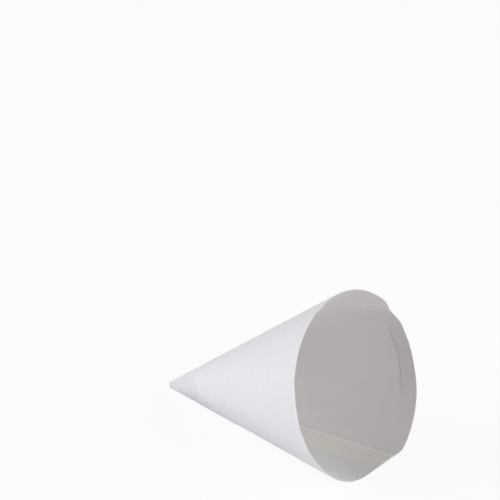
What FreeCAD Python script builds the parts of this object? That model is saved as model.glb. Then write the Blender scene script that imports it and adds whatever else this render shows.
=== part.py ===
import FreeCAD, Part
import math
import os
import Sketcher

# A cone-shaped paper cup rolled from one flat sheet, in millimetres.
# The cone is drawn with its axis along +X, from the closed point to the mouth, and +Z up; all the
# straight lines of its wall meet at the origin. Its wall is pressed flat along the bottom, and the
# finished cup lies on that flat. The sheet goes round once and then laps over itself. Inside, its
# first edge is a straight line from the point to the mouth. Outside, its last edge winds round the
# cone towards the point, whose near half is wrapped twice. On the flat the outside is level, so there
# the lap stands up inside. The rim is a plain cut edge with one small dent.

SIZES = {
    "mouth_radius": 35.0,       # outside of the wall at the mouth, away from the flat and the dent
    "wall_height": 96.0,        # along the axis, from where the wall's lines meet to the mouth
    "paper_thickness": 0.2,     # one ply
    "flat_inset": 3.5,          # how far the flat is pressed in from the wall's circle, at the mouth
    "level_allowance": 0.03,    # the flat is drawn this much too low at the mouth, then cut level
    "near_bend_radius": 26.0,   # the wide soft bend beside the flat on the near side, at the mouth
    "far_bend_radius": 6.0,     # the tight bend beside the flat on the far side, at the mouth
    "seam_offset": 9.9,         # from the middle of the flat to the sheet's first edge, at the mouth
    "lap_width": 8.5,           # how far the sheet's last edge passes its first edge, at the mouth
    "cut_past_point": 19.0,     # how near the straight last edge comes to the point, on the wall
    "nose_radius": 1.4,         # the wound point is blunt: the wall ends where it is this narrow
    "nose_length": 0.8,         # how far the point tapers in front of that
    "dent_turn": 32.5,          # degrees from the far side up to the middle of the dent in the rim
    "dent_width": 8.5,          # across the dent, along the rim
    "dent_depth": 1.2,          # inwards from the rim's circle
    "dent_reach": 25.0,         # along the axis, from the mouth to where the dent has died out
}

doc = FreeCAD.newDocument("cone_cup")
sheet = doc.addObject("Spreadsheet::Sheet", "Sizes")
for row, (alias, number) in enumerate(SIZES.items(), start=1):
    sheet.set("A%d" % row, alias)
    sheet.set("B%d" % row, str(number))
    sheet.setAlias("B%d" % row, alias)
doc.recompute()

# Pushing a cone along its axis by this much moves its wall outwards by one ply.
PLY_SHIFT = ("(Sizes.paper_thickness * sqrt(Sizes.mouth_radius ^ 2 + Sizes.wall_height ^ 2)"
             " / Sizes.mouth_radius)")
# Where the wall is as narrow as the nose, and where the dent has died out.
NOSE_PLACE = "(Sizes.nose_radius * Sizes.wall_height / Sizes.mouth_radius)"
DENT_END = "(Sizes.wall_height - Sizes.dent_reach)"
# The front of the nose is half as wide as the wall is where the nose begins.
NOSE_SCALE = "(Sizes.nose_radius / Sizes.mouth_radius)"
NOSE_FRONT_SCALE = "(0.5 * %s)" % NOSE_SCALE
# Half the turn that the dent takes up, in degrees.
HALF_DENT = "(90 / pi * Sizes.dent_width / Sizes.mouth_radius)"
# From the axis to the flat, at the mouth, and the angle between them.
FLAT_DISTANCE = "(Sizes.mouth_radius - Sizes.flat_inset)"
LIE = "atan(%s / Sizes.wall_height)" % FLAT_DISTANCE


def value(expression):
    """What an expression of the sheet's sizes comes to, as a number."""
    result = sheet.evalExpression(expression)
    return float(getattr(result, "Value", result))


def stations(plies, dented):
    """Where a cone is drawn that lies so many plies outside the first turn's outer face.

    Each station has a name, its place along the axis, its scale against the mouth, and whether the
    rim's dent shows there."""
    shift = "(%d * %s)" % (plies, PLY_SHIFT)
    return [
        ("mouth", "Sizes.wall_height", "(1 + %s / Sizes.wall_height)" % shift, dented),
        ("below_dent", DENT_END, "((%s + %s) / Sizes.wall_height)" % (DENT_END, shift), False),
        ("nose", "(%s - %s)" % (NOSE_PLACE, shift), NOSE_SCALE, False),
        ("nose_front", "(%s - %s - Sizes.nose_length)" % (NOSE_PLACE, shift), NOSE_FRONT_SCALE, False),
    ]


def point(x, y):
    """A point of a sketch."""
    return FreeCAD.Vector(x, y, 0)


def line(x0, y0, x1, y1):
    """A straight line of a sketch."""
    return Part.LineSegment(point(x0, y0), point(x1, y1))


def arc(centre_x, centre_y, radius, start, end):
    """A counter-clockwise arc of a sketch, with its angles in radians."""
    circle = Part.Circle(point(centre_x, centre_y), FreeCAD.Vector(0, 0, 1), radius)
    return Part.ArcOfCircle(circle, start, end)


def outline(body, label, place, scale, dented, flat_distance):
    """Sketch the closed outline of a cone at one place on its axis.

    The sketch's x runs to the far side and its y up. From the flat the outline bends into a circle
    on the far side, passes the dent, runs over the top and bends back to the flat, whose distance
    from the axis at the mouth is given as an expression."""
    plane = [f for f in body.Origin.OriginFeatures if f.Role == "YZ_Plane"][0]
    sketch = body.newObject("Sketcher::SketchObject", label)
    sketch.AttachmentSupport = [(plane, "")]
    sketch.MapMode = "FlatFace"
    sketch.setExpression("AttachmentOffset.Base.z", place)

    wall_size = "(Sizes.mouth_radius * %s)" % scale
    flat_size = "(%s * %s)" % (flat_distance, scale)
    near_size = "(Sizes.near_bend_radius * %s)" % scale
    far_size = "(Sizes.far_bend_radius * %s)" % scale
    low_size = "((Sizes.dent_turn - %s) * 1 deg)" % HALF_DENT
    high_size = "((Sizes.dent_turn + %s) * 1 deg)" % HALF_DENT
    wall = value(wall_size)
    flat = value(flat_size)
    near = value(near_size)
    far = value(far_size)
    low = math.radians(value(low_size))
    high = math.radians(value(high_size))
    near_x = -math.sqrt((wall - near) ** 2 - (flat - near) ** 2)
    near_end = math.atan2(near - flat, near_x) + 2 * math.pi
    far_x = math.sqrt((wall - far) ** 2 - (flat - far) ** 2)
    far_end = math.atan2(far - flat, far_x)

    def tie(*parts):
        return sketch.addConstraint(Sketcher.Constraint(*parts))

    def drive(kind, name, expression, *parts):
        """Add a dimension that an expression drives."""
        sketch.renameConstraint(tie(kind, *parts), name)
        sketch.setExpression("Constraints." + name, expression)

    origin = -1
    flat_line = sketch.addGeometry(line(near_x, -flat, far_x, -flat))
    far_bend = sketch.addGeometry(arc(far_x, far - flat, far, -math.pi / 2, far_end))
    far_arc = sketch.addGeometry(arc(0, 0, wall, far_end, low))
    top_arc = sketch.addGeometry(arc(0, 0, wall, high, near_end))
    near_bend = sketch.addGeometry(arc(near_x, near - flat, near, near_end, 1.5 * math.pi))
    low_ray = sketch.addGeometry(line(0, 0, wall * math.cos(low), wall * math.sin(low)), True)
    high_ray = sketch.addGeometry(line(0, 0, wall * math.cos(high), wall * math.sin(high)), True)

    if dented:
        # The dent is a hollow arc that meets the circle at the two rays; its radius gives its depth.
        deep_size = "(Sizes.dent_depth * %s)" % scale
        away_size = "(%s * (2 * %s - %s) / (2 * (%s - %s * (1 - cos(%s * 1 deg)))))" % (
            deep_size, wall_size, deep_size, deep_size, wall_size, HALF_DENT)
        hollow_size = "(%s - %s + %s)" % (away_size, wall_size, deep_size)
        hollow_radius = value(hollow_size)
        middle = (low + high) / 2
        centre_x = value(away_size) * math.cos(middle)
        centre_y = value(away_size) * math.sin(middle)
        start = math.atan2(wall * math.sin(high) - centre_y, wall * math.cos(high) - centre_x)
        end = math.atan2(wall * math.sin(low) - centre_y, wall * math.cos(low) - centre_x)
        dent = sketch.addGeometry(arc(centre_x, centre_y, hollow_radius, start, end + 2 * math.pi))
        dent_ends = ((dent, 2), (dent, 1))
        drive("Radius", "dent", hollow_size, dent, hollow_radius)
    else:
        dent = sketch.addGeometry(arc(0, 0, wall, low, high))
        dent_ends = ((dent, 1), (dent, 2))
        tie("Equal", dent, top_arc)

    tie("Horizontal", flat_line)
    tie("Tangent", flat_line, 2, far_bend, 1)
    tie("Tangent", far_bend, 2, far_arc, 1)
    tie("Coincident", far_arc, 2, *dent_ends[0])
    tie("Coincident", top_arc, 1, *dent_ends[1])
    tie("Tangent", top_arc, 2, near_bend, 1)
    tie("Tangent", near_bend, 2, flat_line, 1)
    tie("Coincident", top_arc, 3, origin, 1)
    tie("Coincident", far_arc, 3, origin, 1)
    for ray, ray_end in ((low_ray, (far_arc, 2)), (high_ray, (top_arc, 1))):
        tie("Coincident", ray, 1, origin, 1)
        tie("Coincident", ray, 2, *ray_end)
    drive("Radius", "wall", wall_size, top_arc, wall)
    drive("DistanceY", "flat", flat_size, flat_line, 1, origin, 1, flat)
    drive("Radius", "near_bend", near_size, near_bend, near)
    drive("Radius", "far_bend", far_size, far_bend, far)
    drive("Angle", "dent_low", low_size, origin, 1, low_ray, 1, low)
    drive("Angle", "dent_high", high_size, origin, 1, high_ray, 1, high)


def cone(label, plies, dented=True, allowance="Sizes.level_allowance"):
    """A solid cone whose face lies so many plies outside the first turn's outer face."""
    body = doc.addObject("PartDesign::Body", label)
    flat_distance = "(%s + %s)" % (FLAT_DISTANCE, allowance)
    names = []
    for name, place, scale, dent_here in stations(plies, dented):
        names.append("%s_%s" % (label, name))
        outline(body, names[-1], place, scale, dent_here, flat_distance)
    loft = body.newObject("PartDesign::AdditiveLoft", label + "_loft")
    outlines = [doc.getObject(name) for name in names]
    loft.Profile = outlines[0]
    loft.Sections = outlines[1:]
    loft.Ruled = True
    return body


def lap_region():
    """The prism that holds the sheet's second turn, drawn as it looks along the axis.

    Flat on the table, the sheet's last edge is a straight line that passes the point at the distance
    cut. A place on it that is rho away from the point is seen from there at an angle whose cosine is
    cut / rho. Rolled up, angles about the point grow by one over the sine of the cone's half angle.
    The edge ends at the sheet's corner, on the line of the first edge carried on past the point."""
    wall = value("Sizes.mouth_radius")
    flat = value(FLAT_DISTANCE)
    seam_x = value("Sizes.seam_offset")
    cut = value("Sizes.cut_past_point")
    slant = math.hypot(wall, value("Sizes.wall_height"))
    sine = wall / slant
    lap_turn = value("Sizes.lap_width") / wall
    corner_turn = math.pi / sine - 2 * math.pi
    rim_angle = math.acos(cut / slant)
    past_rim = math.acos(cut / (1.1 * slant))
    corner_angle = rim_angle - (corner_turn - lap_turn) * sine

    def across(radius, turn):
        """A place seen along the axis, turned from the first edge the way the sheet is wound."""
        angle = math.atan2(-flat, seam_x) - turn
        return FreeCAD.Vector(0, radius * math.cos(angle), radius * math.sin(angle))

    def last_edge(angle):
        return across(cut / math.cos(angle) * sine, lap_turn + (rim_angle - angle) / sine)

    eighth = (corner_angle - past_rim) / 8
    edge = Part.BSplineCurve()
    edge.interpolate([last_edge(past_rim + eighth * i) for i in range(9)])
    axis = across(0, 0)
    past_first_edge = across(1.2 * wall, 0)
    wire = Part.Wire([Part.makeLine(axis, past_first_edge),
                      Part.makeLine(past_first_edge, edge.StartPoint),
                      edge.toShape(), Part.makeLine(edge.EndPoint, axis)])
    return Part.Face(wire).extrude(FreeCAD.Vector(value("Sizes.wall_height"), 0, 0))


def combine(kind, label, base, tool):
    """Join, cut or intersect two shapes."""
    result = doc.addObject(kind, label)
    result.Base = base
    result.Tool = tool
    return result


def layer(label, low, high):
    """A wide slab from low to high above the surface that the cup lies on, both as expressions."""
    slab = doc.addObject("Part::Box", label)
    slab.setExpression("Length", "1.5 * Sizes.wall_height")
    slab.setExpression("Width", "3 * Sizes.mouth_radius")
    slab.setExpression("Height", "%s - %s" % (high, low))
    doc.recompute()
    along_flat = FreeCAD.Rotation(FreeCAD.Vector(0, 1, 0), value(LIE))
    corner = FreeCAD.Vector(-slab.Length.Value / 8, -slab.Width.Value / 2, value(low))
    slab.Placement = FreeCAD.Placement(along_flat.multVec(corner), along_flat)
    return slab


first_turn = cone("first_turn", 0)
second_turn = cone("second_turn", 1, dented=False)
hollow = cone("hollow", -1, allowance="0")
lap_space = doc.addObject("Part::Feature", "lap_space")
lap_space.Shape = lap_region()
table = layer("table", "(-0.5 * Sizes.mouth_radius)", "0")
two_plies = layer("two_plies", "(-Sizes.paper_thickness)", "(2 * Sizes.paper_thickness)")

outer_lap = combine("Part::Common", "outer_lap", second_turn, lap_space)
wound = combine("Part::Fuse", "wound", first_turn, outer_lap)
level = combine("Part::Cut", "level", wound, table)
inner_lap = combine("Part::Common", "inner_lap", lap_space, two_plies)
room = combine("Part::Cut", "room", hollow, inner_lap)
cup = combine("Part::Cut", "paper_cone", level, room)
doc.recompute()

# The cup is tipped until its flat is level, with the mouth towards +X. The origin lies on the
# surface under the middle of the cup's length.
tipped = FreeCAD.Rotation(FreeCAD.Vector(0, 1, 0), -value(LIE))
cup.Placement = FreeCAD.Placement(FreeCAD.Vector(), tipped)
doc.recompute()
box = cup.Shape.optimalBoundingBox()
under_middle = FreeCAD.Vector(box.Center.x, box.Center.y, box.ZMin)
cup.Placement = FreeCAD.Placement(-under_middle, tipped)
doc.recompute()


def close_to(volume, expected):
    """Whether a volume is within a thousandth of what is expected."""
    return abs(volume - expected) <= 0.001 * expected


for thing in doc.Objects:
    if "Invalid" in thing.State or "Error" in thing.State:
        raise RuntimeError("%s did not build: %s" % (thing.Label, thing.State))
paper = cup.Shape
if paper.isNull() or not paper.isValid() or len(paper.Solids) != 1:
    raise RuntimeError("%s is not one sound solid" % cup.Label)
lap_alone = outer_lap.Shape.Volume - outer_lap.Shape.common(first_turn.Shape).Volume
below = table.Shape.common(wound.Shape).Volume
raised = inner_lap.Shape.common(hollow.Shape).Volume
if not close_to(wound.Shape.Volume, first_turn.Shape.Volume + lap_alone):
    raise RuntimeError("%s lost a piece of the lap" % wound.Label)
if not close_to(level.Shape.Volume, wound.Shape.Volume - below):
    raise RuntimeError("%s was not cut level" % level.Label)
if not close_to(paper.Volume, level.Shape.Volume - hollow.Shape.Volume + raised):
    raise RuntimeError("%s lost a piece of its wall" % cup.Label)

os.makedirs("parts", exist_ok=True)
paper.exportStep("parts/%s.step" % cup.Label)
box = paper.optimalBoundingBox()
print("%s: %.1f x %.1f x %.1f mm, %.0f mm3 of paper, of which %.0f mm3 laps" % (
    cup.Label, box.XLength, box.YLength, box.ZLength, paper.Volume, lap_alone - below + raised))
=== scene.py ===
# %% [markdown]
# # A paper cone cup, rolled from one sheet
#
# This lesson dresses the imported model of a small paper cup. The cup is one sheet of thin white paper,
# cut as a part of a disc, rolled into a cone and glued where it laps. It lies on its side, on a part
# of its wall that has been pressed flat, and its open mouth looks past the camera.
#
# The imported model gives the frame: everything is in metres, the x axis runs along the cup from its
# point to its mouth, z is up, and the table is at z = 0. So nothing here has to be fitted by eye.

import math

import bmesh
import bpy
import mathutils
import numpy as np
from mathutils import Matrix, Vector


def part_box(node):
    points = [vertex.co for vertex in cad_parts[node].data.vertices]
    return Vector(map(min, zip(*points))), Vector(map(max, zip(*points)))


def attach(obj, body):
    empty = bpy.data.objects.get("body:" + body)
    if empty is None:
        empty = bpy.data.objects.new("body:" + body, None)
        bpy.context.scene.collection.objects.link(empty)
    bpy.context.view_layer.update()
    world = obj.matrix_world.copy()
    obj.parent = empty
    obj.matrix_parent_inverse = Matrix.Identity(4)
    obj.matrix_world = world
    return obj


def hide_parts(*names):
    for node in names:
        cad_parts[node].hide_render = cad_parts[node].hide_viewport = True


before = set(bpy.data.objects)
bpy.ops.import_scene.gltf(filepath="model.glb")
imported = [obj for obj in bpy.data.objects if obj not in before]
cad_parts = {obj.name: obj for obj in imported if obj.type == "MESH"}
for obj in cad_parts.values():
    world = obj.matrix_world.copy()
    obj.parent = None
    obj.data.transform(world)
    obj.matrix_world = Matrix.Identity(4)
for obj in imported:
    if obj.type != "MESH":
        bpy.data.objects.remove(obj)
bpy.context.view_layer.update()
low, high = (np.array(corner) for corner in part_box("paper_cone"))
print("the solid cup is", np.round((high - low) * 1000, 2), "mm")

# %% [markdown]
# ## The sizes that the sheet follows
#
# They are the real cup's, in millimetres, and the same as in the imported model. All the straight lines
# of a cone's wall meet in one point, the apex. The cup lies on one of them, so the apex is on the
# table, and its place follows from the far end of the box: the flat reaches from there to the mouth.
#
# Turns are measured round the axis in degrees: 0 is the side nearest to the camera, 90 the top, 180
# the far side and -90 the middle of the flat. A reach is a share of the wall's length, from 0 at the
# apex to 1 at the rim.

# %% Sizes in millimetres
MM = 0.001
MOUTH_RADIUS = 35.0
WALL_HEIGHT = 96.0
FLAT_DISTANCE = 31.5
NEAR_BEND = 26.0
FAR_BEND = 6.0
PLY = 0.2
PLY_GAP = 0.01
SEAM_OFFSET = 9.9
LAP_WIDTH = 8.5
CUT_PAST_POINT = 19.0
NOSE_RADIUS = 1.4
NOSE_LENGTH = 0.8

SLANT = math.hypot(MOUTH_RADIUS, WALL_HEIGHT)
SINE = MOUTH_RADIUS / SLANT
TILT = math.atan(FLAT_DISTANCE / WALL_HEIGHT)
SEAM_TURN = -90 - math.degrees(math.atan(SEAM_OFFSET / FLAT_DISTANCE))
AXIS = np.array([math.cos(TILT), 0, math.sin(TILT)])
UPWARD = np.array([-math.sin(TILT), 0, math.cos(TILT)])
NEARWARD = np.array([0, -1.0, 0])
APEX = np.array([high[0] / MM - math.hypot(FLAT_DISTANCE, WALL_HEIGHT), 0, 0])
print("apex at", np.round(APEX, 2), "mm, first edge at", round(SEAM_TURN, 1), "degrees")

# %% [markdown]
# ## The outline of the mouth
#
# Seen along the axis the mouth is a circle with one flat side. The paper can't fold sharply there, so
# a bend leads from the circle into the flat: a wide soft one on the near side and a tight one on the
# far side. A bend is an arc that touches both, and its distance from the axis follows from the
# cosine rule. A spline through a few points would look the same, but an arc keeps the same sizes as
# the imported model.

# %% The mouth's outline
def bend(turn, side, radius):
    """Distance from the axis to a bend, and where it starts and ends as turns below the side.

    The arc's centre lies inwards of the flat and of the circle by its radius. Along a ray at angle a
    the distance is c cos(a - b) plus the root of (c cos(a - b))^2 - c^2 + radius^2, where c and b are
    the centre's own distance and angle."""
    across = math.sqrt((MOUTH_RADIUS - radius) ** 2 - (FLAT_DISTANCE - radius) ** 2)
    down = FLAT_DISTANCE - radius
    centre = math.hypot(across, down)
    toward = math.degrees(math.atan2(-down, across))
    flat_end = math.degrees(math.atan2(-FLAT_DISTANCE, across))
    below = turn if side > 0 else -180 - turn
    reach = centre * np.cos(np.radians(below - toward))
    distance = reach + np.sqrt(np.maximum(reach ** 2 - centre ** 2 + radius ** 2, 0))
    return distance, (below <= toward) & (below > flat_end), below <= flat_end


def unturned(turn):
    """The same turn between -270 and 90 degrees."""
    return (np.asarray(turn, float) + 270) % 360 - 270


def outline(turn):
    """Distance from the axis to the rim: the circle, but on the bends their arcs, and on the flat the
    flat's distance over the sine of the angle below the horizontal."""
    turn = unturned(turn)
    distance = np.full(turn.shape, MOUTH_RADIUS)
    near, on_near, past_near = bend(turn, 1, NEAR_BEND)
    far, on_far, past_far = bend(turn, -1, FAR_BEND)
    distance = np.where((turn > -90) & on_near, near, distance)
    distance = np.where((turn <= -90) & on_far, far, distance)
    on_flat = ((turn > -90) & past_near) | ((turn <= -90) & past_far)
    return np.where(on_flat, FLAT_DISTANCE / np.maximum(-np.sin(np.radians(turn)), 0.1), distance)


print("mouth radius at the near side, top and flat:", outline(np.array([0.0, 90.0, -90.0])))

# %% [markdown]
# ## What handling has done to the wall
#
# Thin paper shows every touch. This cup has a sharp dent in its rim at the upper right, a lip that is
# folded in a little along a crease 6 mm from the rim on the far side, and some slight hollows. Each
# is a smooth bump that is added to the wall's distance from the axis. Real paper can only bend and
# not stretch, but these are so shallow that a bump looks the same, and it needs no cloth simulation.
#
# The depths are in millimetres. The dent's fold meets the rim at a turn of 141 degrees, and leans
# towards the near side as it runs down the wall. The numbers in each window are turns in degrees.

# %% Dents, crease and hollows
CREASE_REACH = 0.94
CREASE_WIDTH = 0.45
GROOVE_DEPTH = 0.06
LIP_DEPTH = 0.85
DENT_DEPTH = 1.3
DENT_TURN = 141.0
DENT_LEAN = 95.0
NEAR_HOLLOW = 0.28
TOP_HOLLOW = 0.3


def smooth(value, start, end):
    """0 before start, 1 after end, and in between 3 x^2 - 2 x^3, which starts and ends level."""
    x = np.clip((value - start) / (end - start), 0, 1)
    return x * x * (3 - 2 * x)


def window(value, start, full, still, end):
    """Rises from start to full, stays at 1, and falls from still to end."""
    return smooth(value, start, full) * (1 - smooth(value, still, end))


def crease(turn, reach):
    """1 along the fold line of the lip and 0 away from it: a bell curve over the distance to it."""
    far = unturned(turn) % 360
    distance = (reach - CREASE_REACH) * SLANT
    return np.exp(-(distance / CREASE_WIDTH) ** 2) * window(far, 159, 165, 197, 215)


def wear(turn, reach):
    """Millimetres that the wall is out (or in, if negative), at a turn and a reach: each depth times
    a window of turns and a rise towards the rim."""
    turn = unturned(turn)
    far = np.where(turn < -90, turn + 360, turn)
    fold = DENT_TURN - DENT_LEAN * (1 - reach)
    dent = window(far, fold - 1.5, fold + 5.0, fold + 6.5, fold + 22) * smooth(reach, 0.76, 1.0)
    past_crease = np.clip((reach - CREASE_REACH) / (1 - CREASE_REACH), 0, 1)
    lip = window(far, 152, 168, 184, 212) * past_crease
    near = window(turn, -2, 10, 17, 28) * smooth(reach, 0.5, 1.0)
    top = window(turn, 69, 73, 77, 84) * smooth(reach, 0.8, 1.0)
    inwards = DENT_DEPTH * dent + LIP_DEPTH * lip + NEAR_HOLLOW * near + TOP_HOLLOW * top
    return GROOVE_DEPTH * crease(turn, reach) - inwards


print("deepest dent:", round(float(wear(np.linspace(-180, 180, 721), np.ones(721)).min()), 2), "mm")

# %% [markdown]
# ## The wall as a function of two parameters
#
# One parameter is the turn round the axis. The other says how far along the wall a point is: from the
# apex to the rim it is a share of the slant. A real cup is blunt at its point, because paper can't be
# wound to nothing, so the last few millimetres are a small rounded nose.

# %% The wall's surface
NOSE_REACH = NOSE_RADIUS / MOUTH_RADIUS
LEAST_REACH = 0.01


def stretch(way):
    """(how far along the axis, how wide) as shares. From way 0 to 1 the nose's quarter ellipse grows
    from a point to the wall's width; from way 1 on, both shares are the same and reach 1 at way 2."""
    quarter = np.clip(way, 0, 1) * math.pi / 2
    wall = NOSE_REACH + (1 - NOSE_REACH) * np.clip(way - 1, 0, 1)
    along = wall - NOSE_LENGTH / WALL_HEIGHT * np.cos(quarter) * (way < 1)
    wide = np.where(way < 1, NOSE_REACH * np.sin(quarter), wall)
    return along, wide


def reach_at(way):
    """The wall's width there as a share of the mouth's, but never nothing, so that the apex is safe."""
    return np.maximum(stretch(way)[1], LEAST_REACH)


def wall(turn, way):
    """The outer face of the first turn: along the axis by the height, and out from it by the outline
    and the wear, at each turn. The table holds up what would go below it."""
    along, wide = stretch(way)
    radius = outline(turn) * wide + wear(turn, wide)
    angle = np.radians(turn)[..., None]
    out = np.cos(angle) * NEARWARD + np.sin(angle) * UPWARD
    place = APEX + along[..., None] * WALL_HEIGHT * AXIS + radius[..., None] * out
    return np.concatenate([place[..., :2], np.maximum(place[..., 2:], 0)], -1)


def facing(turn, way):
    """Unit normals, outwards: the cross product of the wall's two slopes, taken as differences. At the
    very point of the nose it looks straight back along the axis."""
    small = 0.02
    round_it = wall(turn + 10 * small, way) - wall(turn - 10 * small, way)
    safe = np.clip(way, small, 2 - small)
    along_it = wall(turn, safe + small) - wall(turn, safe - small)
    normal = np.cross(along_it, round_it)
    length = np.linalg.norm(normal, axis=-1, keepdims=True)
    return np.where(length > 1e-9, normal / np.maximum(length, 1e-9), -AXIS)


print("top of the mouth:", np.round(wall(np.array(90.0), np.array(2.0)), 2))
print("its normal:", np.round(facing(np.array(90.0), np.array(2.0)), 2))

# %% [markdown]
# ## How the sheet is wound
#
# Flat on the table the sheet has two straight edges. The first edge points at the apex, so on the cup
# it is a straight line, inside. The last edge passes the apex 19 mm away, so it winds round the cone,
# outside. A point of it at the distance rho from the apex is seen from there at an angle whose cosine
# is 19 / rho, and rolling the sheet up makes each angle larger by one over the sine of the cone's
# half angle. Near the apex the sheet is all of one side of a straight line, which is half a turn when
# it is flat, and a turn and a half when it is rolled.

# %% Where the sheet ends
FULL_TURN = 360
HALF_TURN = 180
NEVER_TOUCHING = 1.0001


def last_turn(reach):
    """How far round, in degrees, the sheet goes from its first edge at that reach. Nearer to the apex
    than the last edge comes, it is half a turn over the sine of the cone's half angle."""
    rho = np.maximum(reach * SLANT, CUT_PAST_POINT * NEVER_TOUCHING)
    at_rim = math.degrees(LAP_WIDTH / MOUTH_RADIUS) + FULL_TURN
    swing = math.acos(CUT_PAST_POINT / SLANT) - np.arccos(CUT_PAST_POINT / rho)
    return np.minimum(at_rim + np.degrees(swing) / SINE, HALF_TURN / SINE)


def past_last_edge(wound, reach):
    """Millimetres round the cone from the last edge, on the first turn, which it lies over."""
    return np.radians(wound - (last_turn(reach) - FULL_TURN)) * MOUTH_RADIUS * reach


print("the sheet goes round by", np.round(last_turn(np.array([0.1, 0.3, 0.5, 1.0])), 1))

# %% [markdown]
# ## Which ply lies on which
#
# Where the sheet laps, its last part lies outside its first part, so it stands off the wall by one
# ply. On the flat the table holds the outside level, and there the first part is lifted inside
# instead, and comes down softly past the last edge. A hair's gap keeps the two plies apart. The glue
# stops short of the first edge, which has curled up a little, though not near the point, where the
# paper is wound too tight to curl.

# %% Offsets of the plies
CURL_HEIGHT = 0.16
CURL_LENGTH = 0.6
SOFT_FOLD = 1.2


def on_the_table(turn, way):
    """1 where the wall touches the table, and 0 from two plies above it."""
    return 1 - smooth(wall(turn, way)[..., 2], 0.0, 2 * (PLY + PLY_GAP))


def lift(wound, way):
    """Millimetres from the wall's outer face to the middle of the sheet, outwards positive."""
    reach = reach_at(way)
    flat = on_the_table(SEAM_TURN + wound, way)
    step = PLY + PLY_GAP
    covered = (wound < HALF_TURN) * (1 - smooth(past_last_edge(wound, reach), 0.0, SOFT_FOLD))
    from_first_edge = np.radians(wound) * MOUTH_RADIUS * reach
    curl = CURL_HEIGHT * smooth(reach, 0.1, 0.4) * np.exp(-from_first_edge / CURL_LENGTH)
    second_ply = wound >= FULL_TURN
    return -PLY / 2 + np.where(second_ply, step * (1 - flat), -step * flat * covered - curl)


# %% [markdown]
# ## The sheet's mesh
#
# The sheet is a thin solid: its inner face, its outer face, and the cut edges between them. A solidify
# modifier could give a plain surface its thickness, but here the plies lie against each other, so
# both faces are worked out: the same grid of points, moved in or out by half a ply. The edges are
# strips that join the grids' borders. So the mesh is closed everywhere, as the real sheet is.
#
# The grid is finer where the paper is bent more sharply: at the dent, the crease and the edges. Each
# pair below is a stop and the number of steps from it to the next one.

# %% The grid
LAP_STEPS = 47


def spaced(*stops):
    """Numbers from the first stop to the last, with so many steps between each two stops."""
    runs = [np.linspace(a, b, n, endpoint=False) for (a, n), (b, _) in zip(stops, stops[1:])]
    return np.concatenate(runs + [np.array([float(stops[-1][0])])])


def sheet_grid():
    """Turns from the first edge and ways along the wall. The first 360 degrees are shared by all the
    rows, and the lap past them is stretched to end at the last edge."""
    ways = spaced((0, 7), (1, 60), (1.88, 8), (1.928, 20), (1.956, 8), (2, 0))
    first = spaced((0, 10), (3, 70), (56, 90), (240, 44), (276, 56), (FULL_TURN, 0))
    lap = np.linspace(0, 1, LAP_STEPS + 1)[1:]
    past = last_turn(reach_at(ways))[:, None] - FULL_TURN
    turns = np.concatenate([np.tile(first, (len(ways), 1)), FULL_TURN + lap * past], axis=1)
    return turns, np.repeat(ways[:, None], turns.shape[1], axis=1)


wound, way = sheet_grid()
print("grid:", wound.shape, "points on each face")

# %% [markdown]
# The material needs to know where on the sheet a point is. So the mesh carries its place on the flat
# sheet as a UV map, and a few numbers for each point: how far it is from the first edge, from the
# last edge, and past the last edge on the turn below, and whether it is on the inner face or in the
# crease. Under the nose no last edge shows, so there its distance is made a large one.

# %% The sheet as a closed mesh
OUT_OF_SIGHT = 10
PLIES_CLOSE = 1.5


def faces_of(index, under):
    """Quads of both faces and of the four strips between their borders, all facing outwards."""
    a, b, c, d = index[:-1, :-1], index[:-1, 1:], index[1:, 1:], index[1:, :-1]
    faces = [np.stack([a, b, c, d], -1).reshape(-1, 4)]
    a, b, c, d = under[:-1, :-1], under[:-1, 1:], under[1:, 1:], under[1:, :-1]
    faces.append(np.stack([d, c, b, a], -1).reshape(-1, 4))
    borders = [(index[0, ::-1], under[0, ::-1]), (index[-1], under[-1]),
               (index[:, 0], under[:, 0]), (index[::-1, -1], under[::-1, -1])]
    for top, below in borders:
        faces.append(np.stack([top[:-1], top[1:], below[1:], below[:-1]], -1))
    return np.concatenate(faces)


def sheet_mesh(name, wound, way):
    """The closed mesh, with its UV map in metres of flat paper: u is the angle on the flat sheet times
    the distance from the apex, v is that distance. On the nose's tip the plies close up."""
    turn = SEAM_TURN + wound
    reach = reach_at(way)
    middle = (lift(wound, way) * np.clip(way * PLIES_CLOSE, 0, 1))[..., None]
    normal = facing(turn, way)
    skin = wall(turn, way)
    sides = [skin + normal * (middle + half) for half in (PLY / 2, -PLY / 2)]
    points = np.concatenate([side.reshape(-1, 3) for side in sides]) * MM
    index = np.arange(wound.size).reshape(wound.shape)
    mesh = bpy.data.meshes.new(name)
    mesh.from_pydata(points.tolist(), [], faces_of(index, index + wound.size).tolist())
    mesh.update()

    flat_sheet = np.stack([np.radians(wound) * SINE * reach * SLANT, reach * SLANT], -1) * MM
    loops = np.zeros(len(mesh.loops), int)
    mesh.loops.foreach_get("vertex_index", loops)
    uv = np.tile(flat_sheet.reshape(-1, 2), (2, 1))[loops]
    mesh.uv_layers.new(name="sheet").data.foreach_set("uv", uv.ravel())
    on_the_nose = 1 - smooth(reach * SLANT, CUT_PAST_POINT - 1, CUT_PAST_POINT + 1)
    before_last_edge = -past_last_edge(wound - FULL_TURN, reach)
    numbers = {"first_edge": np.radians(wound) * MOUTH_RADIUS * reach,
               "past_last_edge": past_last_edge(wound, reach),
               "last_edge": before_last_edge + OUT_OF_SIGHT * on_the_nose,
               "crease": crease(turn, reach)}
    for label, values in numbers.items():
        spread = np.tile(values.ravel(), 2)
        mesh.attributes.new(label, "FLOAT", "POINT").data.foreach_set("value", spread)
    inside = np.repeat([0.0, 1.0], wound.size)
    mesh.attributes.new("inner_face", "FLOAT", "POINT").data.foreach_set("value", inside)
    return mesh


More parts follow.
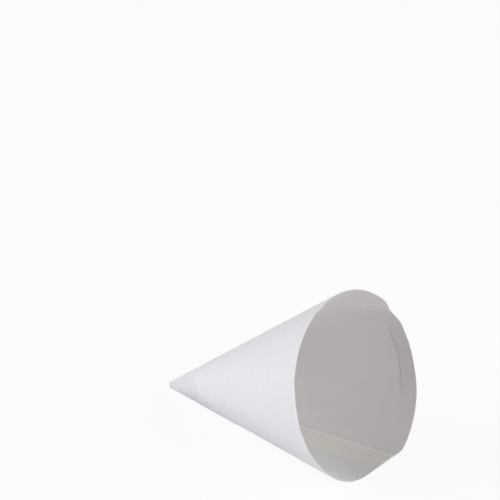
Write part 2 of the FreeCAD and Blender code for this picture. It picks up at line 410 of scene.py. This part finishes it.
cup_mesh = sheet_mesh("rolled_paper_sheet", wound, way)
cup = bpy.data.objects.new("rolled_paper_sheet", cup_mesh)
bpy.context.collection.objects.link(cup)
print("sheet:", len(cup_mesh.vertices), "points,", len(cup_mesh.polygons), "faces")

# %% [markdown]
# At the very point of the nose a whole row of points falls together. Merging them closes the mesh.
# The cut edges turn by a right angle, so they stay sharp, and everything else is shaded smooth.

# %% Close the point, and keep the cut edges sharp
SAME_POINT = 1e-7
SHARP_ANGLE = math.radians(50)

form = bmesh.new()
form.from_mesh(cup_mesh)
bmesh.ops.remove_doubles(form, verts=form.verts, dist=SAME_POINT)
bmesh.ops.recalc_face_normals(form, faces=form.faces)
for face in form.faces:
    face.smooth = True
for edge in form.edges:
    edge.smooth = edge.calc_face_angle(0) < SHARP_ANGLE
form.to_mesh(cup_mesh)
open_edges = sum(not edge.is_manifold for edge in form.edges)
volume = form.calc_volume()
form.free()
print("edges that don't close:", open_edges, " paper:", round(volume / MM ** 3), "mm3")

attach(cup, "root")
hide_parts("paper_cone")

# %% [markdown]
# ## The material
#
# Uncoated bleached cup paper is made of short wood fibres, felted on a wire and pressed. It is matt
# and white, with a very faint mottle where the fibres lie thicker, and a little light goes through
# it. That light is why the inside of the cup isn't dark. Glue under the lap shows through as a warmer
# band. Along the cut edges a near-white tint is painted highlight, where the edges catch the light, and
# along the crease a grey tint is painted shade, where the fold lies in shade.
#
# The principled shader gives the matt face, and a translucent one beside it lets light through.

# %% Colours and nodes
def colour(code):
    """An sRGB hex code as linear red, green, blue and 1."""
    parts = [int(code[i:i + 2], 16) / 255 for i in (0, 2, 4)]
    return [p / 12.92 if p <= 0.04045 else ((p + 0.055) / 1.055) ** 2.4 for p in parts] + [1.0]


def node(tree, kind, settings=(), inputs=(), links=()):
    """Add a node. settings are its own properties, inputs its sockets' values by name or number, and
    links say which output feeds which input."""
    made = tree.nodes.new(kind)
    for name, value in dict(settings).items():
        setattr(made, name, value)
    for name, value in dict(inputs).items():
        made.inputs[name].default_value = value
    for name, source in dict(links).items():
        tree.links.new(source, made.inputs[name])
    return made


def per_metre(size_mm):
    """A noise's scale for lumps of that size."""
    return 1000 / size_mm


THIN_TONE = colour("EDECEA")
THICK_TONE = colour("F0EFED")
print("white paper, linear:", np.round(THIN_TONE, 3), "to", np.round(THICK_TONE, 3))

# %% [markdown]
# Lumps of fibre in such paper are about 4 mm wide. The fibres are 1 to 3 mm long but only 0.03 mm
# thick, too fine to show, so they are drawn 0.3 mm thick. Both patterns lie on the flat sheet, so
# they go round the cone as the real ones do, and don't slide through it. The mottle goes from the
# thin tone to the thick one in the middle of the noise's range, and the fibres are felt as a bump.

# %% Mottle and fibres
paper = bpy.data.materials.new("uncoated_bleached_cup_paper")
paper.use_nodes = True
tree = paper.node_tree
tree.nodes.clear()
LUMP_MM = 4.0
FIBRE_MM = 0.3
FIBRE_LENGTHENED = 0.25
FIBRE_HEIGHT = 0.03
FIBRE_STRENGTH = 0.2

sheet_place = node(tree, "ShaderNodeUVMap", {"uv_map": "sheet"})
lumps = node(tree, "ShaderNodeTexNoise",
             inputs={"Scale": per_metre(LUMP_MM), "Detail": 3.0, "Roughness": 0.6},
             links={"Vector": sheet_place.outputs["UV"]})
lengthened = node(tree, "ShaderNodeMapping", inputs={"Scale": (1, FIBRE_LENGTHENED, 1)},
                  links={"Vector": sheet_place.outputs["UV"]})
fibres = node(tree, "ShaderNodeTexNoise",
              inputs={"Scale": per_metre(FIBRE_MM), "Detail": 2.0, "Roughness": 0.6},
              links={"Vector": lengthened.outputs["Vector"]})
tone = node(tree, "ShaderNodeValToRGB", links={"Fac": lumps.outputs["Fac"]})
for stop, place, shade in zip(tone.color_ramp.elements, (0.3, 0.7), (THIN_TONE, THICK_TONE)):
    stop.position = place
    stop.color = shade
bump = node(tree, "ShaderNodeBump",
            inputs={"Strength": FIBRE_STRENGTH, "Distance": FIBRE_HEIGHT * MM},
            links={"Height": fibres.outputs["Fac"]})
print("lumps:", LUMP_MM, "mm, fibres drawn", FIBRE_MM, "mm thick")

# %% [markdown]
# The glue was rolled on in a strip along the last edge, so it runs in faint streaks along the cup. It
# starts at the last edge and ends at the first one. On the inner face each streak is 1.5 mm wide and
# a good two centimetres long.

# %% Faces and glue streaks
STREAK_MM = 1.5
STREAK_LENGTHENED = 0.06
THINNEST_GLUE = 0.4

inner_face = node(tree, "ShaderNodeAttribute", {"attribute_name": "inner_face"}).outputs["Fac"]
outer_face = node(tree, "ShaderNodeMapRange",
                  inputs={"From Min": 0.6, "From Max": 1.0, "To Min": 1.0, "To Max": 0.0},
                  links={"Value": inner_face}).outputs["Result"]
along_cup = node(tree, "ShaderNodeMapping", inputs={"Scale": (1, STREAK_LENGTHENED, 1)},
                 links={"Vector": sheet_place.outputs["UV"]})
streaks = node(tree, "ShaderNodeTexNoise", inputs={"Scale": per_metre(STREAK_MM), "Detail": 2.0},
               links={"Vector": along_cup.outputs["Vector"]})
glue = node(tree, "ShaderNodeMapRange",
            inputs={"From Min": 0.35, "From Max": 0.65, "To Min": THINNEST_GLUE, "To Max": 1.0},
            links={"Value": streaks.outputs["Fac"]})
glued_face = node(tree, "ShaderNodeMath", {"operation": "MULTIPLY"},
                  links={0: glue.outputs["Result"], 1: inner_face}).outputs[0]
print("glue streaks:", STREAK_MM, "mm wide,", round(STREAK_MM / STREAK_LENGTHENED), "mm long")

# %% [markdown]
# Four tints follow an edge: the glue, a painted highlight at both cut edges, and a painted shade along
# the crease. Each is a tint that is laid on one face, between two values of a number that the mesh
# carries. A map range makes it fade over a fraction of a millimetre, and stay even where the edge
# crosses the grid slantwise. The painted highlight is nearly white, and draws a fine bright line where
# the cut edges catch the light.

# %% Glue, cut edges and crease
GLUE_TINT = colour("F2F0E6")
# Painted highlight: a near-white tint on the cut edges stands in for the light that they catch.
PAINTED_EDGE_HIGHLIGHT = colour("FFFEFB")
# Painted shade: a grey tint along the crease stands in for the shade in its fold.
PAINTED_CREASE_SHADE = colour("E1DFDD")


def edge_glue_and_painted_light(below, label, full, none, face, tint):
    """The colour below, with a tint over it: all of it where the number is at full, fading to nothing
    where it is at none, times how much of the point lies on that face."""
    number = node(tree, "ShaderNodeAttribute", {"attribute_name": label})
    fade = node(tree, "ShaderNodeMapRange",
                inputs={"From Min": full, "From Max": none, "To Min": 1.0, "To Max": 0.0},
                links={"Value": number.outputs["Fac"]})
    amount = node(tree, "ShaderNodeMath", {"operation": "MULTIPLY"},
                  links={0: fade.outputs["Result"], 1: face})
    mix = node(tree, "ShaderNodeMix", {"data_type": "RGBA"}, {7: tint},
               {0: amount.outputs[0], 6: below})
    return mix.outputs[2]


paper_tone = tone.outputs["Color"]
# The glue's tint is its own colour. The tints at the first and last edges are painted highlight, and
# the one on the crease is painted shade.
for finish in (("past_last_edge", -0.3, 0.4, glued_face, GLUE_TINT),
               ("first_edge", 0.2, 0.7, inner_face, PAINTED_EDGE_HIGHLIGHT),
               ("last_edge", 0.3, 0.9, outer_face, PAINTED_EDGE_HIGHLIGHT),
               ("crease", 1.0, 0.0, inner_face, PAINTED_CREASE_SHADE)):
    paper_tone = edge_glue_and_painted_light(paper_tone, *finish)
    print("finish over", finish[0])

# %% [markdown]
# Felted fibres scatter light all ways, so the paper is rough and has a weak gloss. Nearly a third of
# the light that it scatters comes out on the other side.

# %% The paper's surface
MATT = 0.85
GLOSS = 0.3
THROUGH_SHARE = 0.3

surface = node(tree, "ShaderNodeBsdfPrincipled",
               inputs={"Roughness": MATT, "Specular IOR Level": GLOSS},
               links={"Base Color": paper_tone, "Normal": bump.outputs["Normal"]})
through = node(tree, "ShaderNodeBsdfTranslucent",
               links={"Color": paper_tone, "Normal": bump.outputs["Normal"]})
both = node(tree, "ShaderNodeMixShader", inputs={0: THROUGH_SHARE},
            links={1: surface.outputs["BSDF"], 2: through.outputs["BSDF"]})
node(tree, "ShaderNodeOutputMaterial", links={"Surface": both.outputs["Shader"]})
cup_mesh.materials.append(paper)
print("paper:", len(tree.nodes), "nodes")

# %% [markdown]
# ## The floor
#
# The cup lies on plain white card. To the camera, and in reflections, most of its white is a glow of
# strength 1, so the card looks white however the light falls, and the rest is lit card, which keeps
# the cup's shadow. For all other rays it is plain card, so it lights the cup from below as it should.

# %% White floor
FLOOR_SIZE = 8.0
GLOW_SHARE = 0.9


def is_seen(tree):
    """1 for rays from the camera and for those that come by a mirror or through glass. Light that
    seeps through the paper counts as transmission too, but it is diffuse, so it is taken off."""
    ray = node(tree, "ShaderNodeLightPath").outputs
    direct = node(tree, "ShaderNodeMath", {"operation": "MAXIMUM"},
                  links={0: ray["Is Camera Ray"], 1: ray["Is Glossy Ray"]})
    clear = node(tree, "ShaderNodeMath", {"operation": "MAXIMUM"},
                 links={0: direct.outputs[0], 1: ray["Is Transmission Ray"]})
    seen = node(tree, "ShaderNodeMath", {"operation": "SUBTRACT", "use_clamp": True},
                links={0: clear.outputs[0], 1: ray["Is Diffuse Ray"]})
    return seen.outputs[0]


bpy.ops.mesh.primitive_plane_add(size=FLOOR_SIZE)
floor = bpy.context.object
floor.name = "floor"
card = bpy.data.materials.new("white_card")
card.use_nodes = True
tree = card.node_tree
tree.nodes.clear()
share = node(tree, "ShaderNodeMath", {"operation": "MULTIPLY"}, {1: GLOW_SHARE}, {0: is_seen(tree)})
lit = node(tree, "ShaderNodeBsdfDiffuse", inputs={"Color": colour("F4F4F4")})
glow = node(tree, "ShaderNodeEmission", inputs={"Color": colour("FFFFFF"), "Strength": 1.0})
mix = node(tree, "ShaderNodeMixShader",
           links={0: share.outputs[0], 1: lit.outputs[0], 2: glow.outputs[0]})
node(tree, "ShaderNodeOutputMaterial", links={"Surface": mix.outputs[0]})
floor.data.materials.append(card)
print("floor:", FLOOR_SIZE, "m of white card")

# %% [markdown]
# ## The light
#
# Soft white light from large softboxes. The key stands to the left, behind the cup's point, and gives
# the outside its clear white, and a low lamp beside it keeps the underside light. The fill stands
# past the mouth, where it reaches the inside and none of the outside. A second one on the cup's axis
# reaches down to the point. Two weak lamps behind keep the far side from going dark. The room itself
# is white where it is seen, and dim where it lights the cup.

# %% Room and softboxes
ROOM_STRENGTH = 0.1
LAMP_TARGET = mathutils.Vector((0, 0, 0.03))

world = bpy.data.worlds.new("studio")
world.use_nodes = True
bpy.context.scene.world = world
tree = world.node_tree
tree.nodes.clear()
dim = node(tree, "ShaderNodeBackground", inputs={"Color": colour("FFFFFF"), "Strength": ROOM_STRENGTH})
bright = node(tree, "ShaderNodeBackground", inputs={"Color": colour("FFFFFF"), "Strength": 1.0})
room = node(tree, "ShaderNodeMixShader",
            links={0: is_seen(tree), 1: dim.outputs[0], 2: bright.outputs[0]})
node(tree, "ShaderNodeOutputWorld", links={"Surface": room.outputs[0]})


def softbox(name, place, size, power, tint):
    """A square area lamp facing the middle of the cup: place and size in metres, power in watts."""
    lamp = bpy.data.lights.new(name, "AREA")
    lamp.shape = "SQUARE"
    lamp.size = size
    lamp.energy = power
    lamp.color = tint
    holder = bpy.data.objects.new(name, lamp)
    holder.location = place
    aim = LAMP_TARGET - mathutils.Vector(place)
    holder.rotation_euler = aim.to_track_quat("-Z", "Y").to_euler()
    bpy.context.collection.objects.link(holder)


softbox("key", (-0.85, -0.57, 0.69), 0.57, 7.1, (1.0, 1.0, 1.0))
softbox("low", (-0.6, -0.45, 0.17), 0.35, 3.2, (0.8, 0.84, 1.0))
softbox("fill", (1.2, 0.2, 0.7), 0.7, 8.7, (1.0, 0.99, 1.0))
softbox("axis", (1.3, -0.05, 0.45), 0.7, 3.8, (1.0, 0.82, 0.86))
softbox("far", (1.0, 0.8, 0.7), 0.7, 4.2, (0.8, 0.87, 1.0))
softbox("back", (-0.2, 1.3, 0.8), 0.7, 2.0, (1.0, 1.0, 1.0))
print("light:", [thing.name for thing in bpy.data.lights], "and the room")

# %% [markdown]
# ## The camera
#
# The camera looks at the mouth from the right and from above, with a long lens. Its place and its
# lens were fitted to the outlines of the real cup, as a distance from the apex in millimetres. It
# needs no shift and no roll.

# %% Camera
VIEW_AZIMUTH = 38.4223
VIEW_ELEVATION = 25.0151
FOCAL_PIXELS = 2091.5
FRAME_PIXELS = 500
SENSOR_MM = 36.0
NEAREST_SEEN = 0.01
FROM_APEX = np.array([470.2553, -539.9472, 391.4089])

lens = bpy.data.cameras.new("camera")
lens.sensor_width = SENSOR_MM
lens.lens = FOCAL_PIXELS * SENSOR_MM / FRAME_PIXELS
lens.clip_start = NEAREST_SEEN
camera = bpy.data.objects.new("camera", lens)
camera.location = (APEX + FROM_APEX) * MM
camera.rotation_euler = (math.radians(90 - VIEW_ELEVATION), 0, math.radians(VIEW_AZIMUTH))
bpy.context.collection.objects.link(camera)
bpy.context.scene.camera = camera
bpy.context.scene.view_settings.view_transform = "Standard"
print("camera at", np.round(camera.location, 4), "lens", round(lens.lens, 2), "mm")
